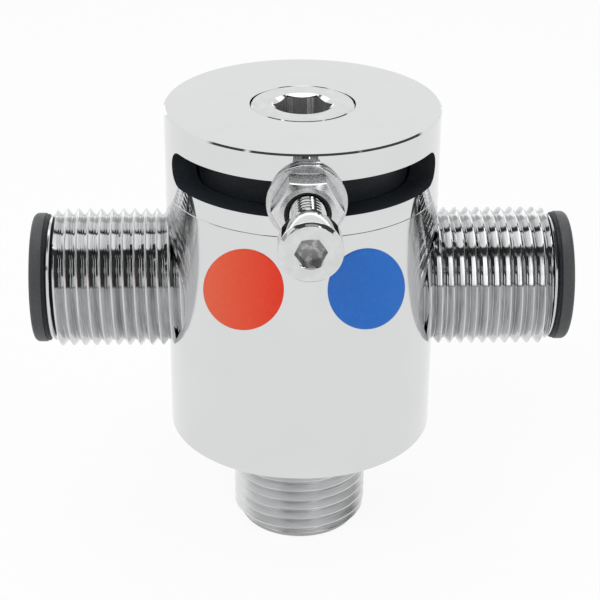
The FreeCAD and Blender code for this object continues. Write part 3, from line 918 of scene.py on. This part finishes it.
# enamel marks on the round body, round to someone who looks down on them, with a soft rim
enamel = {
    "rim": 0.2 * mm, "sunk": 0.01 * mm, "thick": 0.12 * mm, "sight": 26,
    "rings": 16, "rimSteps": 6, "around": 96,
}


def enamelMark(name, slotName):
    low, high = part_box(name + "_dot")
    middle = (low.x + high.x) / 2
    radius = (high.x - low.x) / 2
    tilt = math.radians(enamel["sight"])
    rim, sunk, thick = enamel["rim"], enamel["sunk"], enamel["thick"]
    spans = [(radius - rim) * number / enamel["rings"] for number in range(enamel["rings"])]
    levels = [thick] * enamel["rings"]
    for step in range(enamel["rimSteps"] + 1):
        turn = math.pi / 2 * step / enamel["rimSteps"]
        spans.append(radius - rim * (1 - math.sin(turn)))
        levels.append(thick * math.cos(turn) - sunk * math.sin(turn))
    rings = []
    for span, level in zip(spans, levels):
        loop = []
        for step in range(enamel["around"]):
            turn = 2 * math.pi * step / enamel["around"]
            aside = middle + span * math.cos(turn)
            out = -math.sqrt((bodyRadius + level) ** 2 - aside ** 2)
            loop.append((aside, out, span * math.sin(turn) / math.cos(tilt) - out * math.tan(tilt)))
        rings.append(loop)
    drop = low.z - min(point[2] for loop in rings for point in loop)
    rings.append([(x, y + sunk, z) for x, y, z in rings[0]])
    makePiece(name + "Mark", bridged(rings, closed=False), Matrix.Translation((0, 0, drop)),
              finishes[slotName], "housing", [name + "_dot"])


enamelMark("hot", "red_mark")
enamelMark("cold", "blue_mark")
print("enamel marks laid")


# check valve springs at rest; the real ones shorten as their poppets lift, which is not made here
checkSpring = {
    "wire": 0.25 * mm, "middle": 2.1 * mm, "turns": 4, "perTurn": 40, "wireSides": 10, "travel": 2.0 * mm,
}


def coil(start, end):
    wire, middle = checkSpring["wire"], checkSpring["middle"]
    steps = checkSpring["turns"] * checkSpring["perTurn"]
    rings = []
    for step in range(steps + 1):
        turn = 2 * math.pi * step / checkSpring["perTurn"]
        height = start + wire + (end - start - 2 * wire) * step / steps
        loop = []
        for corner in range(checkSpring["wireSides"]):
            about = 2 * math.pi * corner / checkSpring["wireSides"]
            radius = middle + wire * math.cos(about)
            loop.append((radius * math.cos(turn), radius * math.sin(turn), height + wire * math.sin(about)))
        rings.append(loop)
    return capped(rings)


for name, side in sides.items():
    near, far = inletSpan(*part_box("check_spring_" + name))[:2]
    spring = makePiece(name + "Spring", coil(near, far), alongInlet(side), finishes["bright_steel"],
                       "housing", ["check_spring_" + name], sharpAngle=70)
    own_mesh(spring)
print("springs wound")


# pale floor that is white to the camera and in reflections, and keeps a soft shadow
floor = {
    "half": 1.6, "drop": 0.00002, "paint": (0.86, 0.86, 0.86), "rough": 0.9, "glow": 1.0, "glowShare": 0.9,
}


def makeFloor():
    half = floor["half"]
    corners = [(-half, -half, 0), (half, -half, 0), (half, half, 0), (-half, half, 0)]
    mesh = bpy.data.meshes.new("floor")
    mesh.from_pydata(corners, [], [(0, 1, 2, 3)])
    plane = bpy.data.objects.new("floor", mesh)
    plane.location.z = -floor["drop"]
    scene.collection.objects.link(plane)
    material, tree, surface = newMaterial("floorPaint")
    feed(tree, (*floor["paint"], 1), surface["Base Color"])
    feed(tree, floor["rough"], surface["Roughness"])
    feed(tree, 0, surface["Specular IOR Level"])
    path = tree.nodes.new("ShaderNodeLightPath").outputs
    seen = maths(tree, "MAXIMUM", path["Is Camera Ray"], path["Is Glossy Ray"])
    glow = tree.nodes.new("ShaderNodeEmission")
    feed(tree, floor["glow"], glow.inputs["Strength"])
    mix = tree.nodes.new("ShaderNodeMixShader")
    feed(tree, maths(tree, "MULTIPLY", seen, floor["glowShare"]), mix.inputs["Fac"])
    feed(tree, tree.nodes["Principled BSDF"].outputs[0], mix.inputs[1])
    feed(tree, glow.outputs[0], mix.inputs[2])
    feed(tree, mix.outputs[0], tree.nodes["Material Output"].inputs["Surface"])
    mesh.materials.append(material)


# studio round the object, as the metal shows it: a dark room with white panels.
# a panel is a range of the direction's x, y and z with a brightness
studio = {
    "ambient": 0.45, "dark": 0.065, "soft": 0.03,
    "panels": {
        "roof": ((-0.5, 0.5), (-0.19, 0.36), (0.7, 2), 2.1),
        "window": ((-0.22, 0.33), (-0.5, -0.4), (0.6, 2), 0.55),
        "frontMiddle": ((-0.25, 0.22), (-2, -0.68), (0.52, 0.66), 0.8),
        "frontWall": ((-0.2, 0.27), (-2, -0.9), (0.05, 0.42), 0.5),
        "frontDim": ((-0.66, -0.5), (-0.9, -0.45), (0.1, 0.72), 1.0),
        "frontTall": ((0.335, 0.42), (-0.85, -0.43), (0.35, 0.81), 3.5),
        "frontLow": ((0.335, 0.42), (-2, -0.5), (0.1, 0.43), 3.5),
        "frontLeft": ((-2, -0.67), (-2, -0.4), (0.04, 0.42), 1.0),
        "frontRight": ((0.67, 2), (-2, -0.45), (0.04, 0.42), 1.0),
        "frontFoot": ((0.55, 0.65), (-2, -0.5), (0.1, 0.38), 1.5),
        "leftBox": ((-0.9, -0.5), (-0.4, 0.5), (0.04, 0.69), 1.0),
        "leftEnd": ((-2, -0.88), (-0.4, 0.5), (0.04, 0.69), 0.5),
        "backHigh": ((-0.9, 0.6), (0.44, 0.88), (0.54, 0.83), 1.65),
        "backWall": ((-0.9, 0.6), (0.44, 2), (-2, 0.8), 1.0),
        "backLow": ((-0.55, 0.45), (0.8, 2), (-2, 0.27), 1.5),
        "rightCard": ((0.85, 2), (-0.5, 0.3), (-2, 0.42), 1.0),
        "rightWall": ((0.57, 2), (0.24, 2), (-2, 0.48), 1.0),
        "horizon": ((-2, 2), (-2, 2), (-2, 0.075), 1.0),
    },
}


# 1 between two ends of a value, with soft edges
def inRange(tree, value, low, high):
    away = maths(tree, "ABSOLUTE", maths(tree, "SUBTRACT", value, (low + high) / 2))
    half = (high - low) / 2
    return remap(tree, away, (half + studio["soft"], half - studio["soft"]), curve="SMOOTHSTEP")


def makeWorld():
    world = bpy.data.worlds.new("studio")
    scene.world = world
    world.use_nodes = True
    tree = world.node_tree
    parts = split(tree, tree.nodes.new("ShaderNodeTexCoord").outputs["Generated"])
    bright = studio["dark"]
    for *ranges, panel in studio["panels"].values():
        for axis, (low, high) in zip("XYZ", ranges):
            panel = maths(tree, "MULTIPLY", inRange(tree, parts[axis], low, high), panel)
        bright = maths(tree, "MAXIMUM", panel, bright)
    path = tree.nodes.new("ShaderNodeLightPath").outputs
    ambient = (studio["ambient"],) * 3 + (1,)
    shown = blend(tree, "RGBA", path["Is Glossy Ray"], ambient, bright)
    direct = maths(tree, "MAXIMUM", path["Is Camera Ray"], path["Is Transmission Ray"])
    white = (1, 1, 1, 1)
    feed(tree, blend(tree, "RGBA", direct, shown, white), tree.nodes["Background"].inputs["Color"])


# soft lamps for the painted and rubber surfaces; the metal shows only the studio
lamps = {
    "keyPanel": {"at": (-0.25, -0.32, 0.45), "size": 0.35, "power": 1.5},
    "fillPanel": {"at": (0.4, -0.25, 0.25), "size": 0.35, "power": 0.7},
    "topPanel": {"at": (0.0, 0.1, 0.5), "size": 0.5, "power": 0.9},
}


def makeLamps():
    middle = (cadBox[0] + cadBox[1]) / 2
    for name, lamp in lamps.items():
        light = bpy.data.lights.new(name, "AREA")
        light.energy = lamp["power"]
        light.size = lamp["size"]
        panel = bpy.data.objects.new(name, light)
        panel.location = lamp["at"]
        panel.rotation_mode = "QUATERNION"
        panel.rotation_quaternion = (middle - panel.location).to_track_quat("-Z", "Y")
        panel.visible_glossy = False
        scene.collection.objects.link(panel)


# camera where the photograph was taken from, in metres and degrees, with its lens in millimetres
camera = {
    "eye": (-0.006146, -0.184724, 0.121833), "yaw": 1.871, "pitch": -26.54, "roll": 0.52,
    "lens": 101.897, "sensor": 36, "clip": (0.01, 10),
}


def makeCamera():
    data = bpy.data.cameras.new("photoCamera")
    data.lens = camera["lens"]
    data.sensor_width = camera["sensor"]
    data.clip_start, data.clip_end = camera["clip"]
    eye = bpy.data.objects.new("photoCamera", data)
    turn = Matrix.Rotation(-math.radians(camera["yaw"]), 4, "Z")
    tilt = Matrix.Rotation(math.pi / 2 + math.radians(camera["pitch"]), 4, "X")
    roll = Matrix.Rotation(math.radians(camera["roll"]), 4, "Z")
    eye.matrix_world = Matrix.Translation(camera["eye"]) @ turn @ tilt @ roll
    scene.collection.objects.link(eye)
    scene.camera = eye


makeFloor()
makeWorld()
makeLamps()
makeCamera()
scene.view_settings.view_transform = "Standard"
print("studio set")
